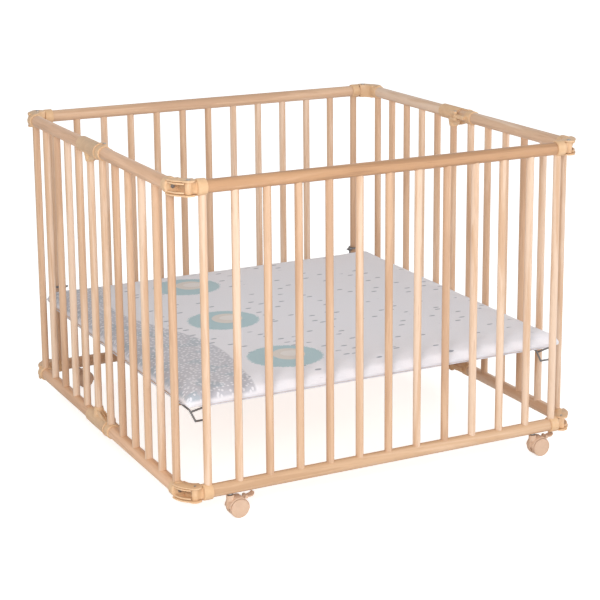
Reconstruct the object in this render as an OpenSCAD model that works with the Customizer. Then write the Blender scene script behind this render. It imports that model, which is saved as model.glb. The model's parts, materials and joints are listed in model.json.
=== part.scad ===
// Folding playpen: four barred sides on round rails, hinged at the corners and in the middle
// of the left and right sides, with a padded floor that hangs on wires and four twin casters.
// Origin: on the ground under the middle of the pen. X runs along the front, Y to the back.

/* [Frame] */
// Distance between the left and right rails, axis to axis
frame_width = 1005; // [800:5:1300]
// Distance between the front and back rails, axis to axis
frame_depth = 1005; // [800:5:1300]
// Distance between the bottom and top rails, axis to axis
frame_height = 678; // [560:2:820]
// Ground to the underside of the bottom rails
ground_clearance = 55; // [54:1:75]

/* [Rails and bars] */
// Diameter of the round rails
rail_d = 30; // [25:0.5:36]
// Diameter of the upright bars
bar_d = 18; // [14:0.5:20]
// Rail axis to the floor of the blind hole that holds each end of a bar
seat_floor = 3; // [2.6:0.2:6]
// Bars in the front and in the back
long_bars = 13; // [11:1:15]
// Bars in each half of a side
half_bars = 6; // [5:1:7]
// Face of a collar to the first front bar
front_bar_offset = 14.5; // [13:0.5:22]
// Face of a cap's collar to the first side bar
side_bar_offset = 13.2; // [12:0.2:22]
// Gap between the two middle bars of a side, axis to axis
middle_gap = 85; // [76:1:100]

/* [Corner fittings] */
// Wall of the collars and caps on the rail ends
collar_wall = 3.5; // [2.5:0.25:6]
// Length of a collar
collar_length = 22; // [16:0.5:30]
// Surface of the side rail to the axis of the hinge pins
pin_offset = 6.5; // [6.5:0.25:9]
// Diameter of the hinge pins
pin_d = 5; // [3:0.25:6]
// Thickness of the elbow's plates and web
elbow_wall = 3; // [2:0.25:4]

/* [Middle fittings] */
// Length of the sleeve behind the middle of a side
sleeve_length = 92; // [70:1:110]
// Wall of the sleeve
sleeve_wall = 3.4; // [2.5:0.1:5]
// Height of the outer lugs of the middle hinge
lug_height = 7; // [5:0.5:8]

/* [Floor] */
// Ground to the underside of the floor board
floor_height = 256; // [230:1:330]
// Thickness of the floor board
board_thickness = 10; // [6:0.5:14]
// Thickness of the padded mat, board included
mat_thickness = 28; // [20:1:40]
// Side bars to the edge of the mat
mat_side_gap = 3.5; // [3:0.5:12]
// Front bars to the edge of the mat
mat_front_gap = 7; // [6:0.5:15]
// Back bars to the edge of the mat
mat_back_gap = 11; // [10:0.5:17]
// Radius of the mat's corners, seen from above
mat_corner_r = 60; // [40:1:90]
// Diameter of the steel wire
wire_d = 4.6; // [3:0.2:5]

/* [Casters] */
// Second bar of a row to the axis of the caster stem
caster_offset = 23; // [18:1:30]
// Diameter of the twin wheels
wheel_d = 43; // [36:0.5:46]
// Width of one wheel
wheel_width = 13; // [9:0.5:15]
// Stem axis to wheel axis
caster_trail = 17; // [12:0.5:20]
// Diameter of the caster stems
stem_d = 8; // [6:0.5:9]

/* [Fits] */
// Radial gap of a glued bar or a pushed-on fitting
seat_gap = 0.05; // [0.02:0.01:0.15]
// Radial gap of a pin or axle that turns
turn_gap = 0.08; // [0.02:0.01:0.1]
// Radial gap at the hinge where the frame's chain of joints is left open
open_gap = 0.5; // [0.3:0.1:1]
// Gap between faces that swing past each other
swing_gap = 1; // [0.6:0.1:2]

/* [Hidden] */
$fn = 48;
eps = 0.01;
BEECH = [0.90, 0.75, 0.58];
CREAM = [0.94, 0.82, 0.65];
BEIGE = [0.86, 0.71, 0.58];
STEEL = [0.62, 0.63, 0.65];
PAD = [0.88, 0.89, 0.93];

half_w = frame_width / 2;
half_d = frame_depth / 2;
rail_r = rail_d / 2;
bar_r = bar_d / 2;
collar_r = rail_r + collar_wall;
pin_r = pin_d / 2;
wire_r = wire_d / 2;
low_z = ground_clearance + rail_r;
top_z = low_z + frame_height;

// Corner: the elbow's round tip turns round the hinge pin between the rail crossing and the collar.
pin_inset = rail_r + pin_offset;
tip_over = 0.5;
tip_r = rail_r + tip_over;
collar_start = pin_inset + tip_r + swing_gap;
bend_over = 2;
elbow_bend = collar_start + bend_over;
collar_edge = 2.5;
cap_dome = 3;
cap_edge = 4;
front_bar_inset = collar_start + front_bar_offset;
side_bar_inset = collar_start + side_bar_offset;
front_pitch = (frame_width - 2 * front_bar_inset) / (long_bars - 1);
side_pitch = (half_d - side_bar_inset - middle_gap / 2) / (half_bars - 1);

// Rails stop behind the end wall of their collar or cap.
end_wall = 3;
rail_start = collar_start + end_wall;
long_rail = frame_width - 2 * rail_start;
half_rail_gap = 1;
half_rail = half_d - rail_start - half_rail_gap;
bar_seat = rail_r - seat_floor;
bar_length = frame_height - rail_d + 2 * bar_seat;
bar_low_z = low_z + rail_r - bar_seat;

// Elbow: plates above and below, a web on the inner side and an axial screw in the cap.
plate_over = 2;
plate_top = rail_r + plate_over;
plate_low = plate_top - elbow_wall;
elbow_out = elbow_bend + rail_r;
elbow_in = elbow_bend - rail_r;
eye_wall = 5.5;
eye_r = pin_r + eye_wall;
eye_half = plate_low - swing_gap;
tongue_side = 1.5;
tongue_half = eye_r - tongue_side;
tongue_step = 1;
tongue_end = 1;
pin_head_h = 1.5;
pin_head_over = 2;
pin_head_r = pin_r + pin_head_over;
rib_out = elbow_in + 2 * elbow_wall;
rib_z = 5;
rib_t = 1.6;
screw_r = 2;
screw_head_r = 4.2;
screw_head_h = 3;
screw_slot = [1, 1.2];
screw_length = 26;

// Middle hinge: the pin stands on the inner side of the rail, level with the corner pins.
hinge_x = pin_inset;
lug_wall = 3;
lug_r = min(pin_r + lug_wall, hinge_x - rail_r - swing_gap);
lug_reach = 18;
inner_lug_half = 4.5;
outer_lug_low = inner_lug_half + swing_gap / 2;
sleeve_r = rail_r + sleeve_wall;
sleeve_back = 2;
sleeve_lap = 4;
sleeve_edge = 2.5;
shell_gap = 1.5;
shell_length = middle_gap / 2 - bar_r - shell_gap;
shell_in = rail_r + swing_gap / 2;
shell_edge = 3;
lip_over = 1.2;
lip_r = sleeve_r + lip_over;
lip_w = 3;
cup_wall = 3.5;
cup_taper = [-1.5, 3];
cup_depth = 19;
socket_r = bar_r + cup_wall;
socket_drop = rail_r + cup_depth;
rib_xs = [-8, -1, 6];
belly_rib_t = 2;
belly_rib_rise = 6;
belly_rib_toe = 14;
belly_rib_end = 8;
mid_collar_start = shell_length + swing_gap;
leaf_extra = 4;
mid_collar_end = mid_collar_start + collar_length + leaf_extra;
leaf_wall = 2.8;
leaf_edge = 2.4;
leaf_arm = 12;
leaf_gap = 0.3;
leaf_arm_trim = 2;
mid_collar_r = rail_r + leaf_wall;
mid_head_r = pin_r + 1.5;
mid_head_h = 1.2;

// Floor: the hinge line lies just above the mat, close to the back bars.
ring_play = 0.6;
ring_r = bar_r + ring_play + wire_r;
hang_gap = 3.2;
hang_rise = 6;
hang_y = half_d - bar_r - hang_gap - wire_r;
hang_z = floor_height + mat_thickness + hang_rise;
ring_x = half_w - front_bar_inset;
eye_spacing = 5;
eye_w = 8;
hanger_eye_wall = 2.4;
hanger_lap = 1.5;
hanger_foot = 70;
rod_end = 4;
hanger_eye_x = ring_x - ring_r - wire_r - eye_spacing;
bend_swell = 0.15;
wire_z = floor_height - wire_r - bend_swell;
board_inset = 8;
wire_drop = 28;
wire_step = 7;
wire_offset = 6;
wire_foot = 75;
wire_y = -half_d + bar_r + 13 + wire_r;
wire_xs = [-30, -16, 14];
wire_tail = 22;
clip_size = [14, 10, wire_d + 3];
clip_back = 55;
clip_groove = 20;
pocket_gap = 0.3;
pocket_top = 0.02;
mat_half_w = half_w - bar_r - mat_side_gap;
mat_front = -half_d + bar_r + mat_front_gap;
mat_back = half_d - bar_r - mat_back_gap;
mat_low_round = 5;
mat_top_round = 7;
mat_top_step = 1;

// Casters, measured from the stem axis at the ground.
caster_x = half_w - front_bar_inset - front_pitch + caster_offset;
wheel_r = wheel_d / 2;
web_half = 3.5;
wheel_play = 0.6;
wheel_in = web_half + wheel_play;
wheel_edge = 2;
wheel_hollow = [7, 3];
axle_cap = 2.5;
axle_end = 3;
axle_r = 3;
hood_play = 1;
hood_wall = 2.5;
hood_in = wheel_r + hood_play;
hood_out = hood_in + hood_wall;
hood_span = [[0, 0], [-60, 6], [-60, 60], [26, 60]];
hood_relief = 0.4;
web_rim = 3;
web_start = 20;
web_length = 27;
web_rise = 5;
neck_low = 16;
neck_front = 4;
neck_height = 20;
ear_r = 3.6;
ear_root = [8, 13, 4];
hood_half_w = 14;
boss_r = 9;
boss_gap = 3;
boss_top = ground_clearance - boss_gap;
stem_r = stem_d / 2;
stem_reach = 22;
stem_seat = 12;
stem_flange = [3, 1.2];
stem_top = ground_clearance + stem_reach;
socket_wall = 2;
socket_lip = 1;
socket_play = 0.5;
socket_end = 2;
socket_top = stem_top + socket_end;
lever_ahead = 19;
lever_below = 9;
lever_x = caster_trail + lever_ahead;
lever_z = boss_top - lever_below;
lever_half_w = 9;
lever_length = 20;
lever_pin_r = 1.5;
lever_cheek_r = 4;
lever_cheek_w = 4.8;
lever_cheek_y = lever_half_w / 2 + 2.2;
lever_pad_t = 3;
lever_pad_drop = 1;
lever_pad_start = 4.4;
lever_lug = 6;
lever_tip = [2, 2.4, 6.5];

// ---------- placing ----------

// Rail crossing at a corner: x runs in along the front or back rail, y in along the side rail.
module at_corner(right, back, upper) {
  translate([(right ? 1 : -1) * half_w, (back ? 1 : -1) * half_d, upper ? top_z : low_z])
    mirror([right ? 1 : 0, 0, 0]) mirror([0, back ? 1 : 0, 0]) mirror([0, 0, upper ? 0 : 1])
      children();
}

// Middle of a side rail: x runs into the pen, y to the back, bars on the -z side.
module at_middle(right, upper) {
  translate([(right ? 1 : -1) * half_w, 0, upper ? top_z : low_z])
    mirror([right ? 1 : 0, 0, 0]) mirror([0, 0, upper ? 0 : 1])
      children();
}

// The same thing at the bottom and the top rail.
module both_levels_corner(right, back) {
  for (upper = [false, true]) at_corner(right, back, upper) children();
}
module both_levels_middle(right) {
  for (upper = [false, true]) at_middle(right, upper) children();
}

module along_x(x0, x1, r) {
  translate([x0, 0, 0]) rotate([0, 90, 0]) cylinder(h = x1 - x0, r = r);
}
module along_y(y0, y1, r) {
  translate([0, y1, 0]) rotate([90, 0, 0]) cylinder(h = y1 - y0, r = r);
}

// Barrel with rounded edges, standing on z = 0.
module barrel(h, r, edge) {
  rotate_extrude() {
    translate([0, edge]) square([r, h - 2 * edge]);
    square([r - edge, h]);
    translate([r - edge, edge]) circle(r = edge);
    translate([r - edge, h - edge]) circle(r = edge);
  }
}

// A wire through a list of points, with slightly swollen bends and round ends.
module bent_wire(points) {
  for (i = [0 : len(points) - 2]) {
    d = points[i + 1] - points[i];
    translate(points[i]) rotate([0, acos(d[2] / norm(d)), atan2(d[1], d[0])])
      cylinder(h = norm(d), r = wire_r);
  }
  for (p = points) translate(p) sphere(r = wire_r + bend_swell, $fn = 32);
}

// ---------- front and back ----------

function long_bar_x(i) = -half_w + front_bar_inset + i * front_pitch;

module long_rail_piece(upper, y) {
  z = upper ? top_z : low_z;
  side = upper ? -1 : 1;
  color(BEECH) difference() {
    translate([0, y, z]) along_x(-long_rail / 2, long_rail / 2, rail_r);
    for (i = [0 : long_bars - 1])
      translate([long_bar_x(i), y, z + side * (rail_r + eps)]) mirror([0, 0, upper ? 0 : 1])
        cylinder(h = bar_seat + eps, r = bar_r + seat_gap);
    if (!upper) for (s = [-1, 1])
      translate([s * caster_x, y, z - rail_r - eps])
        cylinder(h = socket_top - ground_clearance + eps, r = stem_r + socket_wall + seat_gap);
  }
}

module upright(x, y) {
  translate([x, y, bar_low_z]) cylinder(h = bar_length, r = bar_r);
}

module long_bar_row(y) {
  color(BEECH) for (i = [0 : long_bars - 1]) upright(long_bar_x(i), y);
}

// Collar on a rail end, with the eye of the corner hinge and a hole for the first bar.
module collar() {
  color(CREAM) difference() {
    union() {
      translate([collar_start, 0, 0]) rotate([0, 90, 0]) barrel(collar_length, collar_r, collar_edge);
      translate([pin_inset, -tongue_half, -eye_half + tongue_step])
        cube([rail_start - pin_inset - tongue_end, 2 * tongue_half, 2 * (eye_half - tongue_step)]);
      translate([pin_inset, 0, -eye_half]) cylinder(h = 2 * eye_half, r = eye_r);
    }
    along_x(rail_start, collar_start + collar_length + 1, rail_r + seat_gap);
    translate([pin_inset, 0, -eye_half - 1]) cylinder(h = 2 * eye_half + 2, r = pin_r + seat_gap);
    translate([front_bar_inset, 0, -collar_r - 1]) cylinder(h = collar_r, r = bar_r + seat_gap);
  }
}

// Headed pin of a corner hinge, top and bottom alike.
module corner_pin() {
  color(STEEL) {
    translate([pin_inset, 0, -plate_top - pin_head_h])
      cylinder(h = 2 * plate_top + pin_head_h, r = pin_r);
    translate([pin_inset, 0, plate_top]) cylinder(h = pin_head_h, r = pin_head_r);
  }
}

module caster_socket_pair(y) {
  color(STEEL) for (s = [-1, 1]) translate([s * caster_x, y, 0]) difference() {
    translate([0, 0, ground_clearance - socket_lip])
      cylinder(h = socket_top - ground_clearance + socket_lip, r = stem_r + socket_wall);
    translate([0, 0, ground_clearance - 2 * socket_lip])
      cylinder(h = stem_top + socket_play - ground_clearance + 2 * socket_lip, r = stem_r + turn_gap);
  }
}

// ---------- side halves ----------

function half_bar_y(i) = middle_gap / 2 + i * side_pitch;

// The two rails of a half; front halves are the same rails turned round.
module half_rail_pair(right, back) {
  color(BEECH) both_levels_middle(right) mirror([0, back ? 0 : 1, 0]) difference() {
    along_y(half_rail_gap, half_rail_gap + half_rail, rail_r);
    for (i = [0 : half_bars - 1])
      translate([0, half_bar_y(i), -rail_r - eps])
        cylinder(h = bar_seat + eps, r = bar_r + seat_gap);
    along_y(half_rail_gap + half_rail - screw_length, half_rail_gap + half_rail + eps, screw_r);
  }
}

module half_bar_row(right, back) {
  color(BEECH) for (i = [0 : half_bars - 1])
    upright((right ? 1 : -1) * half_w, (back ? 1 : -1) * half_bar_y(i));
}

// Outline of the elbow's plates: a quarter bend with a round tip at the pin.
module elbow_outline() {
  difference() {
    intersection() {
      translate([elbow_bend, elbow_bend]) circle(r = elbow_out, $fn = 96);
      translate([-elbow_out, -elbow_out])
        square([collar_start - swing_gap + elbow_out, rail_start + elbow_out]);
    }
    translate([elbow_bend, elbow_bend]) circle(r = elbow_in);
    difference() {
      translate([pin_inset, -elbow_out]) square([elbow_out, elbow_out]);
      translate([pin_inset, 0]) circle(r = tip_r);
    }
  }
  translate([pin_inset, 0]) circle(r = tip_r);
}

module elbow_ring(r0, r1, z0, z1) {
  translate([0, 0, z0]) linear_extrude(z1 - z0) intersection() {
    difference() {
      translate([elbow_bend, elbow_bend]) circle(r = r1);
      translate([elbow_bend, elbow_bend]) circle(r = r0);
    }
    square([collar_start - swing_gap, rail_start]);
  }
}

// Side cap with its elbow. The gap at the hinge pin is larger where the chain is open.
module elbow(gap) {
  color(CREAM) difference() {
    union() {
      translate([0, collar_start + collar_length, 0]) rotate([90, 0, 0])
        barrel(collar_length + cap_dome, collar_r, cap_edge);
      for (z = [plate_low, -plate_top]) translate([0, 0, z])
        linear_extrude(elbow_wall) elbow_outline();
      elbow_ring(elbow_in, elbow_in + elbow_wall, -plate_low, plate_low);
      for (z = [-rib_z, rib_z]) elbow_ring(elbow_in, rib_out, z - rib_t / 2, z + rib_t / 2);
    }
    along_y(rail_start, collar_start + collar_length + 1, rail_r + seat_gap);
    translate([pin_inset, 0, -plate_top - 1]) cylinder(h = 2 * plate_top + 2, r = pin_r + gap);
    translate([0, side_bar_inset, -collar_r - 1]) cylinder(h = collar_r, r = bar_r + seat_gap);
    along_y(collar_start - cap_dome - 1, rail_start + 1, screw_r + seat_gap);
  }
}

// Screw through the cap into the end of the rail, with a domed head.
module cap_screw() {
  seat = collar_start - cap_dome;
  color(STEEL) {
    along_y(seat - 0.1, rail_start + screw_length, screw_r);
    difference() {
      along_y(seat - screw_head_h, seat, screw_head_r);
      translate([-screw_head_r, seat - screw_head_h - eps, -screw_slot[0] / 2])
        cube([2 * screw_head_r, screw_slot[1], screw_slot[0]]);
    }
  }
}

// Sleeve of a rear half: it closes round the rail behind the middle and leaves an open shell
// in front, which the front rail swings out of.
module middle_sleeve() {
  color(CREAM) difference() {
    union() {
      sleeve_body();
      for (z = [outer_lug_low, -outer_lug_low - lug_height]) translate([0, 0, z]) {
        translate([rail_r - 1, sleeve_back, 0])
          cube([hinge_x + lug_r - rail_r + 1, lug_reach, lug_height]);
        translate([hinge_x, 0, 0]) cylinder(h = lug_height, r = lug_r);
      }
    }
    along_y(sleeve_back, sleeve_length + 1, rail_r + seat_gap);
    along_y(-shell_length - 1, sleeve_back + eps, shell_in);
    translate([hinge_x, 0, -lip_r]) cylinder(h = 2 * lip_r, r = pin_r + seat_gap);
    translate([0, middle_gap / 2, -socket_drop - 1])
      cylinder(h = socket_drop, r = bar_r + seat_gap);
  }
}

// Sleeve, shell, bar socket and ribs, cut away where the front half and its leaf swing out.
module sleeve_body() {
  difference() {
    union() {
      translate([0, sleeve_length, 0]) rotate([90, 0, 0])
        barrel(sleeve_length - sleeve_back, sleeve_r, sleeve_edge);
      along_y(-shell_length, sleeve_back + sleeve_lap, sleeve_r);
      along_y(-shell_length, -shell_length + lip_w, lip_r);
      translate([0, middle_gap / 2, -socket_drop])
        cylinder(h = socket_drop - rail_r / 2, r1 = socket_r + cup_taper[0], r2 = socket_r + cup_taper[1]);
      for (x = rib_xs) translate([x, 0, 0]) belly_rib();
    }
    translate([shell_edge, -shell_length - 1, -lip_r - socket_drop])
      cube([lip_r, shell_length + 1 + sleeve_back, 2 * lip_r + socket_drop]);
    translate([hinge_x, 0, -outer_lug_low])
      cylinder(h = 2 * outer_lug_low, r = lug_r + swing_gap / 2);
  }
}

// Thin upright rib between the bar socket and the lip.
module belly_rib() {
  rib_low = -socket_drop + belly_rib_rise;
  translate([belly_rib_t, 0, 0]) rotate([90, 0, -90]) linear_extrude(belly_rib_t)
    polygon([[-middle_gap / 2, -rail_r - 1], [-middle_gap / 2, rib_low],
             [-belly_rib_toe, rib_low], [shell_length - belly_rib_end, -rail_r - 1]]);
}

// Leaf of a front half: a collar on the rail with an arm to the hinge pin.
module middle_leaf() {
  color(CREAM) difference() {
    union() {
      translate([0, -mid_collar_start, 0]) rotate([90, 0, 0])
        barrel(mid_collar_end - mid_collar_start, mid_collar_r, leaf_edge);
      translate([rail_r + leaf_gap, -mid_collar_start - leaf_arm, -inner_lug_half])
        cube([hinge_x + lug_r - rail_r - leaf_arm_trim, mid_collar_start + leaf_arm,
              2 * inner_lug_half]);
      translate([hinge_x, 0, -inner_lug_half]) cylinder(h = 2 * inner_lug_half, r = lug_r);
    }
    along_y(-mid_collar_end - 1, half_rail_gap / 2, rail_r + seat_gap);
    translate([hinge_x, 0, -lip_r]) cylinder(h = 2 * lip_r, r = pin_r + turn_gap);
    translate([0, -middle_gap / 2, -lip_r - 1]) cylinder(h = lip_r, r = bar_r + seat_gap);
  }
}

module middle_pin() {
  top = outer_lug_low + lug_height;
  color(STEEL) {
    translate([hinge_x, 0, -top]) cylinder(h = 2 * top, r = pin_r);
    translate([hinge_x, 0, top]) cylinder(h = mid_head_h, r = mid_head_r);
  }
}

// ---------- floor ----------

module rounded_plate(x, y0, y1, r) {
  translate([-x + r, y0]) square([2 * (x - r), y1 - y0]);
  translate([-x, y0 + r]) square([2 * x, y1 - y0 - 2 * r]);
  for (cx = [-x + r, x - r], cy = [y0 + r, y1 - r]) translate([cx, cy]) circle(r = r, $fn = 64);
}

module board_shape(grow) {
  rounded_plate(mat_half_w - board_inset + grow, mat_front + board_inset - grow,
                mat_back - board_inset + grow, mat_corner_r - board_inset + grow);
}

module floor_board() {
  color(BEECH) translate([0, 0, floor_height]) linear_extrude(board_thickness) board_shape(0);
}

// Padded mat with a pocket underneath that the board lies in.
module mat() {
  color(PAD) difference() {
    hull() {
      for (step = [[0, mat_low_round], [mat_low_round, 0],
                   [mat_thickness - mat_top_round + mat_top_step, 0], [mat_thickness, mat_top_round]])
        for (cx = [-1, 1], cy = [mat_front + mat_corner_r, mat_back - mat_corner_r])
          translate([cx * (mat_half_w - mat_corner_r), cy, floor_height + step[0]])
            cylinder(h = eps, r = mat_corner_r - step[1], $fn = 32);
    }
    translate([0, 0, floor_height - 1]) linear_extrude(board_thickness + 1 + pocket_top)
      board_shape(pocket_gap);
  }
}

// Rings that slide on the last bars of the back, each with a short hinge rod.
module rear_rings() {
  color(STEEL) for (s = [0, 1]) mirror([s, 0, 0]) translate([ring_x, half_d, hang_z]) {
    rotate_extrude() translate([ring_r, 0]) circle(r = wire_r, $fn = 24);
    bent_wire([[0, hang_y - half_d, 0], [hanger_eye_x - ring_x - eye_w / 2 - rod_end, hang_y - half_d, 0]]);
  }
}

// Wires fixed under the board that hang on the rods of the rings.
module rear_hangers() {
  color(STEEL) for (s = [-1, 1]) translate([s * hanger_eye_x, 0, 0]) difference() {
    union() {
      translate([-eye_w / 2, hang_y, hang_z]) rotate([0, 90, 0])
        cylinder(h = eye_w, r = wire_r + hanger_eye_wall);
      bent_wire([[0, hang_y, hang_z - wire_r - hanger_lap], [0, hang_y, wire_z],
                 [0, hang_y - hanger_foot, wire_z]]);
    }
    translate([-eye_w, hang_y, hang_z]) rotate([0, 90, 0])
      cylinder(h = 2 * eye_w, r = wire_r + turn_gap);
  }
}

// Bent wires under the front corners that stand behind the last front bars.
module front_wires() {
  y1 = wire_y + wire_offset;
  color(STEEL) for (s = [-1, 1]) {
    a = s * ring_x + wire_xs[0];
    b = s * ring_x + wire_xs[1];
    c = s * ring_x + wire_xs[2];
    bent_wire([[a, wire_y + wire_foot, wire_z], [a, wire_y, wire_z],
               [b, wire_y, wire_z - wire_drop], [c, wire_y, wire_z - wire_drop]]);
    bent_wire([[c, wire_y + wire_foot, wire_z], [c, y1, wire_z],
               [s * ring_x - wire_tail, y1, wire_z - wire_step]]);
  }
}

// Plastic clips that hold the wires against the board.
module wire_clips() {
  front_y = wire_y + clip_back;
  back_y = hang_y - clip_back;
  color(CREAM) difference() {
    union() {
      for (x = clip_xs()) clip_block(x, front_y);
      for (s = [-1, 1]) clip_block(s * hanger_eye_x, back_y);
    }
    for (x = clip_xs()) translate([x, 0, wire_z]) wire_groove(front_y);
    for (s = [-1, 1]) translate([s * hanger_eye_x, 0, wire_z]) wire_groove(back_y);
  }
}
function clip_xs() = [for (s = [-1, 1]) for (dx = [wire_xs[0], wire_xs[2]]) s * ring_x + dx];
module clip_block(x, y) {
  translate([x - clip_size[0] / 2, y - clip_size[1] / 2, floor_height - clip_size[2]]) cube(clip_size);
}
module wire_groove(y) {
  translate([0, y, 0]) along_y(-clip_groove / 2, clip_groove / 2, wire_r + seat_gap);
  translate([-wire_r - seat_gap, y - clip_groove / 2, 0])
    cube([wire_d + 2 * seat_gap, clip_groove, wire_d]);
}

// ---------- casters ----------

module at_caster(right, back) {
  translate([(right ? 1 : -1) * caster_x, (back ? 1 : -1) * half_d, 0]) children();
}

// Hood: a web between the wheels, a curved cover over them and a boss for the stem.
module caster_hood(braked) {
  color(BEIGE) difference() {
    union() {
      translate([caster_trail, web_half, wheel_r]) rotate([90, 0, 0])
        cylinder(h = 2 * web_half, r = wheel_r - web_rim);
      translate([caster_trail, hood_half_w, wheel_r]) rotate([90, 0, 0])
        linear_extrude(2 * hood_half_w) intersection() {
          difference() {
            circle(r = hood_out);
            circle(r = hood_in);
          }
          polygon(hood_span);
        }
      translate([caster_trail - web_start, -web_half, wheel_r + web_rise])
        cube([web_length, 2 * web_half, wheel_r - web_rim]);
      translate([0, 0, wheel_r + neck_low]) cylinder(h = boss_top - wheel_r - neck_low, r = boss_r);
      translate([-boss_r, -web_half, wheel_r]) cube([boss_r + neck_front, 2 * web_half, neck_height]);
      if (braked) hull() {
        translate([lever_x, web_half, lever_z]) rotate([90, 0, 0])
          cylinder(h = 2 * web_half, r = ear_r);
        translate([caster_trail + ear_root[0], web_half, wheel_r + ear_root[1]]) rotate([90, 0, 0])
          cylinder(h = 2 * web_half, r = ear_root[2]);
      }
    }
    translate([caster_trail, hood_out, wheel_r]) rotate([90, 0, 0])
      cylinder(h = 2 * hood_out, r = axle_r + seat_gap);
    translate([0, 0, boss_top - stem_seat]) cylinder(h = stem_seat + 1, r = stem_r + seat_gap);
    if (braked) translate([lever_x, hood_out, lever_z]) rotate([90, 0, 0])
      cylinder(h = 2 * hood_out, r = lever_pin_r + turn_gap);
    for (s = [0, 1]) mirror([0, s, 0]) translate([caster_trail, 0, wheel_r])
      along_y(wheel_in - hood_relief, hood_out, hood_in);
  }
}

module caster_stem() {
  color(STEEL) {
    translate([0, 0, boss_top - stem_seat]) cylinder(h = stem_top - boss_top + stem_seat, r = stem_r);
    translate([0, 0, boss_top]) cylinder(h = stem_flange[1], r = stem_r + stem_flange[0]);
  }
}

module caster_axle() {
  reach = wheel_in + wheel_width - axle_end;
  color(STEEL) translate([caster_trail, reach, wheel_r]) rotate([90, 0, 0])
    cylinder(h = 2 * reach, r = axle_r);
}

module caster_wheel_pair() {
  color(BEIGE) for (s = [0, 1]) translate([caster_trail, 0, wheel_r]) mirror([0, s, 0])
    difference() {
      translate([0, wheel_in, 0]) rotate([-90, 0, 0]) barrel(wheel_width, wheel_r, wheel_edge);
      along_y(wheel_in - 1, wheel_in + wheel_width - axle_cap, axle_r + turn_gap);
      translate([0, wheel_in - 1, 0]) rotate([-90, 0, 0]) difference() {
        cylinder(h = wheel_hollow[0], r = wheel_r - wheel_hollow[1]);
        cylinder(h = wheel_hollow[0] + 1, r = axle_r + wheel_hollow[1]);
      }
    }
}

// Foot lever: two cheeks on the hood's ear, with its own pivot, and a pad with a raised tip.
module brake_lever() {
  color(BEIGE) {
    translate([lever_x, lever_half_w, lever_z]) rotate([90, 0, 0])
      cylinder(h = 2 * lever_half_w, r = lever_pin_r);
    for (s = [-1, 1]) translate([lever_x, s * lever_cheek_y + lever_cheek_w / 2, lever_z])
      rotate([90, 0, 0]) cylinder(h = lever_cheek_w, r = lever_cheek_r);
    translate([lever_x + lever_pad_start, -lever_half_w, lever_z - lever_pad_drop])
      cube([lever_length - lever_pad_start, 2 * lever_half_w, lever_pad_t]);
    for (s = [-1, 1])
      translate([lever_x, s * lever_cheek_y - lever_cheek_w / 2, lever_z - lever_pad_drop])
        cube([lever_lug, lever_cheek_w, lever_pad_t]);
    translate([lever_x + lever_length - lever_tip[0], -lever_half_w, lever_z - lever_pad_drop])
      cube([lever_tip[1], 2 * lever_half_w, lever_tip[2]]);
  }
}

// ---------- nodes ----------

module front_top_rail() { long_rail_piece(true, -half_d); }
module front_bottom_rail() { long_rail_piece(false, -half_d); }
module front_bars() { long_bar_row(-half_d); }
module back_top_rail() { long_rail_piece(true, half_d); }
module back_bottom_rail() { long_rail_piece(false, half_d); }
module back_bars() { long_bar_row(half_d); }
module collars(back) { for (right = [false, true]) both_levels_corner(right, back) collar(); }
module hinge_pins(back) { for (right = [false, true]) both_levels_corner(right, back) corner_pin(); }
module elbows(right, back) {
  both_levels_corner(right, back) elbow(right && !back ? open_gap : turn_gap);
}
module cap_screws(right, back) { both_levels_corner(right, back) cap_screw(); }

front_top_rail();
front_bottom_rail();
front_bars();
collars(false);  // front_collars
hinge_pins(false);  // front_hinge_pins
caster_socket_pair(-half_d);  // front_caster_sockets
back_top_rail();
back_bottom_rail();
back_bars();
collars(true);  // back_collars
hinge_pins(true);  // back_hinge_pins
caster_socket_pair(half_d);  // back_caster_sockets
half_rail_pair(false, true);  // left_rear_rails
half_bar_row(false, true);  // left_rear_bars
elbows(false, true);  // left_rear_elbows
cap_screws(false, true);  // left_rear_screws
both_levels_middle(false) middle_sleeve();  // left_middle_sleeves
both_levels_middle(false) middle_pin();  // left_middle_pins
half_rail_pair(false, false);  // left_front_rails
half_bar_row(false, false);  // left_front_bars
elbows(false, false);  // left_front_elbows
cap_screws(false, false);  // left_front_screws
both_levels_middle(false) middle_leaf();  // left_middle_leaves
half_rail_pair(true, true);  // right_rear_rails
half_bar_row(true, true);  // right_rear_bars
elbows(true, true);  // right_rear_elbows
cap_screws(true, true);  // right_rear_screws
both_levels_middle(true) middle_sleeve();  // right_middle_sleeves
both_levels_middle(true) middle_pin();  // right_middle_pins
half_rail_pair(true, false);  // right_front_rails
half_bar_row(true, false);  // right_front_bars
elbows(true, false);  // right_front_elbows
cap_screws(true, false);  // right_front_screws
both_levels_middle(true) middle_leaf();  // right_middle_leaves
floor_board();
mat();
rear_rings();
rear_hangers();
front_wires();
wire_clips();
at_caster(false, false) caster_hood(true);  // caster_fl_hood
at_caster(false, false) caster_stem();  // caster_fl_stem
at_caster(false, false) caster_axle();  // caster_fl_axle
at_caster(false, false) caster_wheel_pair();  // caster_fl_wheels
at_caster(false, false) brake_lever();  // caster_fl_lever
at_caster(true, false) caster_hood(true);  // caster_fr_hood
at_caster(true, false) caster_stem();  // caster_fr_stem
at_caster(true, false) caster_axle();  // caster_fr_axle
at_caster(true, false) caster_wheel_pair();  // caster_fr_wheels
at_caster(true, false) brake_lever();  // caster_fr_lever
at_caster(false, true) caster_hood(false);  // caster_bl_hood
at_caster(false, true) caster_stem();  // caster_bl_stem
at_caster(false, true) caster_axle();  // caster_bl_axle
at_caster(false, true) caster_wheel_pair();  // caster_bl_wheels
at_caster(true, true) caster_hood(false);  // caster_br_hood
at_caster(true, true) caster_stem();  // caster_br_stem
at_caster(true, true) caster_axle();  // caster_br_axle
at_caster(true, true) caster_wheel_pair();  // caster_br_wheels
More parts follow.
